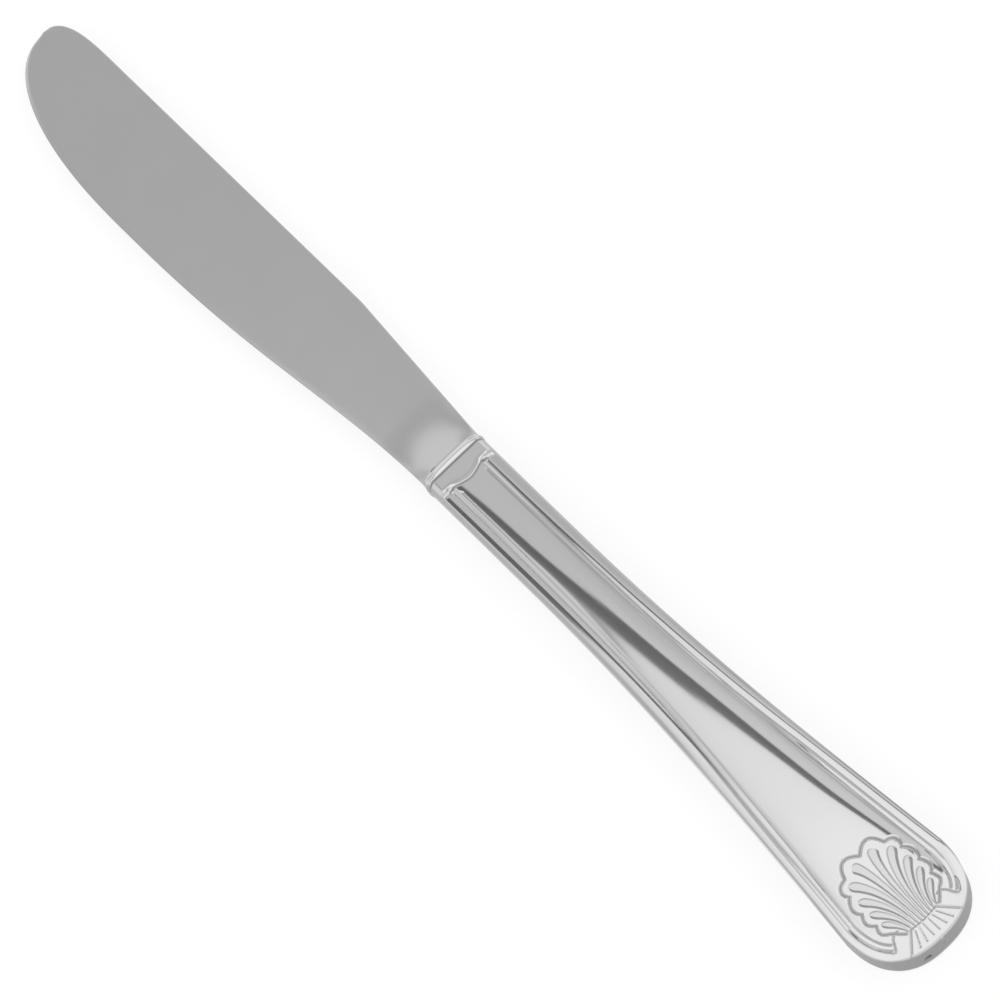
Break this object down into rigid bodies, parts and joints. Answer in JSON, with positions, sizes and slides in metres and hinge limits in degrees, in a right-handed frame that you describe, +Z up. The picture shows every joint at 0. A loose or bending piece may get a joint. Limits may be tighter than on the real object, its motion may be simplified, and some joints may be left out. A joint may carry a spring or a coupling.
{
  "type": "table knife",
  "caption": "Table knife with a round-ended blade and a hollow handle that flares to a butt with threaded edges, a shell and a fan.",
  "frame": {"origin": "centre of the knife's plan, on the surface that it lies on", "axes": "+X from the tip of the blade to the butt, -Y towards the cutting edge, +Z up from the surface"},
  "size_m": [0.232, 0.022, 0.0084],
  "materials": {
    "blade_steel": "bright, with a fine grind",
    "handle_steel": "polished",
    "solder": "satin",
    "cement": "rough"
  },
  "bodies": {
    "root": {"blade": "blade_steel", "handle_shell_front": "handle_steel", "handle_shell_back": "handle_steel", "seam_solder": "solder", "mouth_solder": "solder", "cement_filling": "cement", "vent_pin": "solder"}
  },
  "joints": []
}
